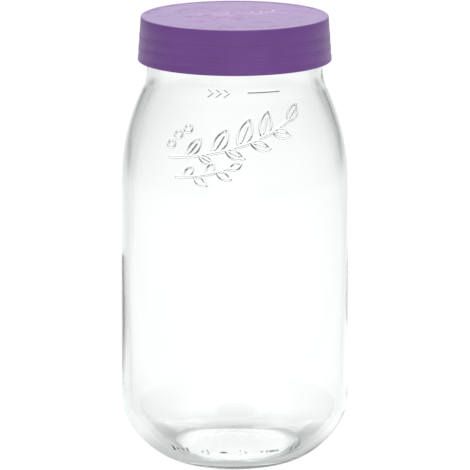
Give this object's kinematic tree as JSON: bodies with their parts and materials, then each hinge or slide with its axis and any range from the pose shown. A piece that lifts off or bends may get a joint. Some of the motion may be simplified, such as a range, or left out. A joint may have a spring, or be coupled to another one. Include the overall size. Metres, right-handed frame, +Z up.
{
  "type": "screw-top glass jar",
  "caption": "Tall straight-sided clear glass storage jar with rounded shoulder and heel, empty, closed by a wide purple plastic screw lid.",
  "frame": {"origin": "centre of the base, on the surface the jar stands on", "axes": "+Z up the jar's axis towards the lid, -Y towards the side with the fill mark, +X to that side's right"},
  "size_m": [0.122, 0.122, 0.2421],
  "materials": {
    "clear_glass": "clear polished soda-lime glass",
    "lid_plastic": "satin moulded polypropylene"
  },
  "bodies": {
    "root": {"glass_jar": "clear_glass", "screw_lid": "lid_plastic"}
  },
  "joints": []
}
